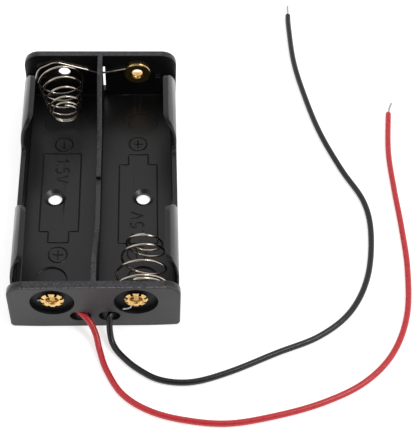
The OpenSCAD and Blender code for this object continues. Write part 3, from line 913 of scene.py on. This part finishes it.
def written(strokes):
    """Strokes given as distances along the word and up the letter. The word runs towards the
    near end of the bay and its letters stand across it."""
    height = LETTER_TOP - LETTER_FOOT
    return [np.column_stack([LETTER_FOOT + height * stroke[:, 1], WORD_START - stroke[:, 0]])
            for stroke in strokes]


# %% Outline, signs and voltage
SIGN_R, ARM_X, ARM_Y = 1.83, np.array([1.1, 0]), np.array([0, 1.1])
PLUS_AT, MINUS_AT = np.array([-7.85, -14.1]), np.array([-7.7, 13.9])
POCKETS, POCKET_R = [(-8.9, 20), (-8.9, -20)], 3
CELL_OUTLINE = [[-11.85, 11.5], [-4, 11.5], [-4, -8.5], [-5.9, -8.5], [-5.9, -11.2],
                [-10, -11.2], [-10, -8.5], [-11.85, -8.5]]

one = strokes_between([[0, 0.72], [0.55, 1], [0.55, 0]])
point = strokes_between([[1.35, 0], [1.55, 0.02]])
bowl = [2.75, 0.31] + circle((0, 0), 1, 128, -125, 25) * [0.78, 0.32]
five = [*strokes_between([[3.45, 1], [2.4, 1], [2.3, 0.56]]), bowl]
vee = strokes_between([[4.3, 1], [5.2, 0], [6.1, 1]])
rings = [circle(centre, SIGN_R)[:-1] for centre in (PLUS_AT, MINUS_AT)]
rings += [circle(centre, POCKET_R, count=49)[:-1] for centre in POCKETS]
lines = [*strokes_between(CELL_OUTLINE, closed=True),
         *strokes_between([PLUS_AT - ARM_X, PLUS_AT + ARM_X]),
         *strokes_between([PLUS_AT - ARM_Y, PLUS_AT + ARM_Y]),
         *strokes_between([MINUS_AT - ARM_Y, MINUS_AT + ARM_Y])]
MARKS = [(ring, True, LINE_WIDTH) for ring in rings]
MARKS += [(line, False, LINE_WIDTH) for line in lines]
MARKS += [(stroke, False, LETTER_WIDTH) for stroke in written([*one, *point, *five, *vee])]
print("marks in each bay:", len(MARKS))

# %% [markdown]
# ### Cutting the marks
# Each stroke is cut by a rod that lies along it, with its middle just over the floor. The rod is
# worked out round and then made taller, because the groove is deeper than half its width. One rod
# for a whole outline would cross itself at the sharp corners, so every straight has a rod of its
# own. They overlap at the corners, and the cuts join there.

# %% Groove cutters
GROOVE_SIDES, STROKE_STEP, ABOVE_FLOOR = 12, 0.2, 0.01


def evenly(path, step):
    """Points along a path at about even steps, read off it by the distance along it."""
    along = distance_along(path)
    wanted = np.linspace(0, along[-1], max(6, int(round(along[-1] / step)) + 1))
    return np.column_stack([np.interp(wanted, along, axis) for axis in path.T])


def closed_rod(path, radius, sides):
    """Points and faces of a level rod that closes on itself, with rings square to the path."""
    ahead = unit(np.roll(path, -1, 0) - np.roll(path, 1, 0))
    side = np.cross(ahead, [0, 0, 1])
    angle = np.linspace(0, 2 * np.pi, sides, endpoint=False)[None, :, None]
    points = path[:, None] + radius * (np.cos(angle) * side[:, None]
                                       + np.sin(angle) * np.array([0, 0, 1.0]))
    faces = ring_faces(len(path) + 1, sides) % (len(path) * sides)
    return points.reshape(-1, 3), faces.tolist()


def groove_cutter(stroke, closed, width, turned):
    """A rod along one stroke of a mark, in the left bay or turned round into the right one. It
    is worked out about height 0, brought to the groove's depth, and lifted to the floor."""
    flat = -stroke if turned else stroke
    path = np.column_stack([flat, np.zeros(len(flat))])
    radius = width / 2
    if closed:
        points, faces = closed_rod(path, radius, GROOVE_SIDES)
    else:
        points, faces, _ = rod(evenly(path, STROKE_STEP), radius, GROOVE_SIDES, UPRIGHT,
                               radius / 2)
    points = points * [1, 1, GROOVE_DEPTH / radius] + [0, 0, FLOOR + ABOVE_FLOOR]
    mesh = bpy.data.meshes.new("groove")
    mesh.from_pydata(points * MM, [], faces)
    shape = bmesh.new()
    shape.from_mesh(mesh)
    bmesh.ops.recalc_face_normals(shape, faces=shape.faces)
    bpy.data.meshes.remove(mesh)
    return bare_object("groove", shape, tray_plastic)


def engrave(made):
    """Cuts every mark into the floor of both bays, and removes the cutters."""
    cutters = [groove_cutter(*mark, turned) for mark in MARKS for turned in (False, True)]
    for cutter in cutters:
        cut = made.modifiers.new("groove", "BOOLEAN")
        cut.operation, cut.solver, cut.object = "DIFFERENCE", "MANIFOLD", cutter
    apply_modifiers(made)
    for cutter in cutters:
        bpy.data.objects.remove(cutter)
    print("grooves cut:", len(cutters))


# %% [markdown]
# ## Tray
# The tray is one moulding: floor, divider, two end walls, low side walls and four ears that curl
# over the cells. Its form could be built again from surfaces, but the CAD model has it exactly,
# down to the tapers, so its mesh is engraved and its edges are softened. A moulding's edges
# differ. The broad faces of the end walls have a wide soft edge and other rims a fine one. What is
# cut into the floor stays crisp.

# %% Edges of the tray
WIDE_EDGE, RIM_EDGE, INNER_EDGE, FOOT_EDGE, CORNER_EDGE = 0.4, 0.1, 0.06, 0.12, 0.05
# Reach of the recesses and of the leads' holes, where the end walls' sides begin, and how near a
# place counts as there.
RECESS_R, HOLE_REACH, SIDE_X, NEAR = 4.2, (5, 5.2), 15.7, 0.01


def tray_edge_width(middle, convex):
    """Width in mm of the rounding of one of the tray's edges, by where it is."""
    x, y, z = abs(middle[0]), abs(middle[1]), middle[2]
    in_recess = math.hypot(x - CELL_X, z - CELL_Z) < RECESS_R
    at_lead_hole = x < HOLE_REACH[0] and z < HOLE_REACH[1]
    at_wall_foot = not convex and y > WALL_Y - 0.1 and z > FLOOR - 0.1
    if abs(y - tray_high[1]) < NEAR and not in_recess and not at_lead_hole:
        return WIDE_EDGE
    if z < FLOOR + NEAR:
        return FOOT_EDGE if at_wall_foot else 0
    if x > SIDE_X and y > WALL_Y - 0.3:
        return CORNER_EDGE
    return RIM_EDGE if convex else INNER_EDGE


# %% Engraved and softened tray
blank = bare_object("tray_blank", merged(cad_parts["tray"].data), tray_plastic)
engrave(blank)
tray_shape = merged(blank.data)
bpy.data.objects.remove(blank)
tray = softened("moulded_tray", tray_shape, tray_plastic, tray_edge_width)
fit(tray, "tray")

# %% [markdown]
# ### Skins of the tray
# The five skins beside the satin one go on by face. A noise mask could blend them, but on the real
# part each finish ends at an edge, where two parts of the mould met. Three of the skins hold
# painted light: glints on the tops, a highlight line on the crests and shade in the recesses.

# %% Skins of the tray
# Distances from the tray's middle, heights and a radius, in mm, at which the skins begin or end.
OUTER_LAYER, LONG_SIDE, CREST_Z = 0.5, 15, 4
DIVIDER_X, HIGHLIGHT_X, HIGHLIGHT_Z, SHADED_RECESS_R = 1, 13.5, 12, 4.15


def skin_of_faces(mesh):
    """Index of each face's skin, from its middle and the way it looks. The mould's eroded half
    made the end walls' outsides. Faces of the divider and the end walls that look up get
    painted glints, and the slope beyond an end wall's crest a painted highlight line. The
    recesses round the eyelets get painted shade, and the outsides of the long walls and ears
    are polished."""
    x, y, z = np.abs(read(mesh.polygons, "center", np.float32, 3)).T / MM
    normal = read(mesh.polygons, "normal", np.float32, 3)
    up, out = normal[:, 2], np.abs(normal[:, 1])
    end, top = y > tray_high[1] - OUTER_LAYER, (z > CREST_Z) & (up > 0.5)
    sloping = (up > 0.55) & (up < 0.85)
    # Faces of the recesses round the eyelets, which get painted shade.
    turned = (y > WALL_Y + 0.1) & (np.hypot(x - CELL_X, z - CELL_Z) < SHADED_RECESS_R)
    skins = {
        side_plastic: (x > LONG_SIDE) & ~end,
        eroded_plastic: end & (z > 0.1),
        # Faces that look up on the divider and end walls: painted glints.
        top_plastic: top & ((x < DIVIDER_X) | end),
        # Middle of the end walls' crest roundings: a painted highlight line.
        edge_plastic: end & (x < HIGHLIGHT_X) & (z > HIGHLIGHT_Z) & sloping,
        recess_plastic: turned & ((out < 0.99) | (y < tray_high[1] - 0.1))}
    index = np.zeros(len(mesh.polygons), np.int32)
    for skin, faces in skins.items():
        index[faces] = TRAY_SKINS.index(skin)
    return index


for plastic in TRAY_SKINS[1:]:
    tray.data.materials.append(plastic)
skin_index = skin_of_faces(tray.data)
tray.data.polygons.foreach_set("material_index", skin_index)
print("faces of each skin:", np.bincount(skin_index).tolist())

# %% [markdown]
# ## Ground
# The product lies on plain white paper. A white floor under soft light is still a light grey to
# the camera. More lamps would burn out the product's own pale parts, so the paper is lifted only
# where it is looked at, by the camera, in a reflection or through a hole. It keeps a soft part of
# the product's shadow.

# %% Ground
GROUND_SIZE, GROUND_LIFT, PAPER_CLOUD_MM = 6, 0.55, 60


def seen_rays(tree):
    """1 for the camera's rays, reflections and rays through a hole, and 0 for light."""
    ray = add_node(tree, "ShaderNodeLightPath").outputs
    seen = add_node(tree, "ShaderNodeMath", {0: ray["Is Camera Ray"], 1: ray["Is Glossy Ray"]},
                    operation="MAXIMUM").outputs["Value"]
    return add_node(tree, "ShaderNodeMath", {0: seen, 1: ray["Is Transmission Ray"]},
                    operation="MAXIMUM").outputs["Value"]


def white_ground():
    """White paper, whose colour drifts very little, with the lift as its own glow."""
    material, tree = empty_material("white_ground")
    place = add_node(tree, "ShaderNodeTexCoord").outputs["Object"]
    clouds = add_node(tree, "ShaderNodeTexNoise",
                      {"Vector": place, "Scale": per(PAPER_CLOUD_MM)}).outputs["Fac"]
    paper = add_node(tree, "ShaderNodeMix",
                     {"Factor": clouds, "A": linear("#f6f6f6"), "B": linear("#f9f9f9")},
                     data_type="RGBA").outputs["Result"]
    glow = add_node(tree, "ShaderNodeMath", {0: seen_rays(tree), 1: GROUND_LIFT},
                    operation="MULTIPLY").outputs["Value"]
    shader = add_node(tree, "ShaderNodeBsdfPrincipled",
                      {"Base Color": paper, "Roughness": 0.9, "Emission Color": (1, 1, 1, 1),
                       "Emission Strength": glow})
    add_node(tree, "ShaderNodeOutputMaterial", {"Surface": shader.outputs["BSDF"]})
    return material


mesh = bpy.data.meshes.new("ground")
corners = np.array([[-1, -1], [1, -1], [1, 1], [-1, 1]]) * GROUND_SIZE / 2
mesh.from_pydata(np.column_stack([corners, np.zeros(4)]), [], [[0, 1, 2, 3]])
mesh.materials.append(white_ground())
ground = bpy.data.objects.new("ground", mesh)
scene.collection.objects.link(ground)
print("ground, m:", GROUND_SIZE)

# %% [markdown]
# ## Light
# Black plastic shows little but what it mirrors, so the room matters more than the lamps. It is a
# white tent, a little dimmer overhead. An opening on the near side, where a tent is left open for
# the lens, makes the floor of the bays and the front dark. Many cards could give the same
# reflections, but two ramps over the world's directions are easier to tune. One compact lamp,
# high on the right, gives the metal its highlights and the right ears their shine.

# %% Tent
OPENING = unit(np.array([0, -0.6, 0.8]))
OVERHEAD, IN_OPENING = 0.78, 0.25
# Sines of the heights between which the tent dims, and cosines at the opening's rim and middle.
DIM_FROM, DIM_TO = 0.3, 0.8
OPENING_RIM, OPENING_MIDDLE = 0.72, 0.94


def white_world():
    """A white tent. Its strength falls evenly with the height of the direction looked at, and
    softly with the cosine between that direction and the middle of the opening."""
    world = bpy.data.worlds.new("daylight")
    scene.world = world
    world.use_nodes = True
    tree = world.node_tree
    tree.nodes.clear()
    way = add_node(tree, "ShaderNodeTexCoord").outputs["Generated"]
    height = add_node(tree, "ShaderNodeSeparateXYZ", {"Vector": way}).outputs["Z"]
    towards = add_node(tree, "ShaderNodeVectorMath", {0: way, 1: OPENING.tolist()},
                       operation="DOT_PRODUCT").outputs["Value"]
    tent = add_node(tree, "ShaderNodeMapRange",
                    {"Value": height, "From Min": DIM_FROM, "From Max": DIM_TO,
                     "To Min": 1.0, "To Max": OVERHEAD}).outputs["Result"]
    hole = add_node(tree, "ShaderNodeMapRange",
                    {"Value": towards, "From Min": OPENING_RIM, "From Max": OPENING_MIDDLE,
                     "To Min": 1.0, "To Max": IN_OPENING},
                    interpolation_type="SMOOTHSTEP").outputs["Result"]
    strength = add_node(tree, "ShaderNodeMath", {0: tent, 1: hole},
                        operation="MULTIPLY").outputs["Value"]
    background = add_node(tree, "ShaderNodeBackground",
                          {"Color": (1, 1, 1, 1), "Strength": strength})
    add_node(tree, "ShaderNodeOutputWorld", {"Surface": background.outputs["Background"]})


white_world()
print(f"tent: 1 at the sides, {OVERHEAD} overhead, {OVERHEAD * IN_OPENING:.2f} in the opening")

# %% Lamp
LAMP_AT, LAMP_AIM = np.array([240, -60, 430]), np.array([10, 0, 0])
LAMP_SIZE, LAMP_WATTS = 160, 0.6


def area_lamp(name):
    """A round lamp that looks along its own -Z, so its third direction points back from the
    aim, and the other two are square to it."""
    lamp = bpy.data.lights.new(name, "AREA")
    lamp.shape, lamp.size, lamp.energy = "DISK", LAMP_SIZE * MM, LAMP_WATTS
    made = bpy.data.objects.new(name, lamp)
    back = unit((LAMP_AT - LAMP_AIM).astype(float))
    right = unit(np.cross([0.1, 1, 0], back))
    turn = Matrix(np.column_stack([right, np.cross(back, right), back]))
    made.matrix_world = Matrix.Translation(LAMP_AT * MM) @ turn.to_4x4()
    scene.collection.objects.link(made)


area_lamp("key")
scene.view_settings.view_transform = "Standard"
print(f"lamp at {LAMP_AT.tolist()} mm, {LAMP_WATTS} W")
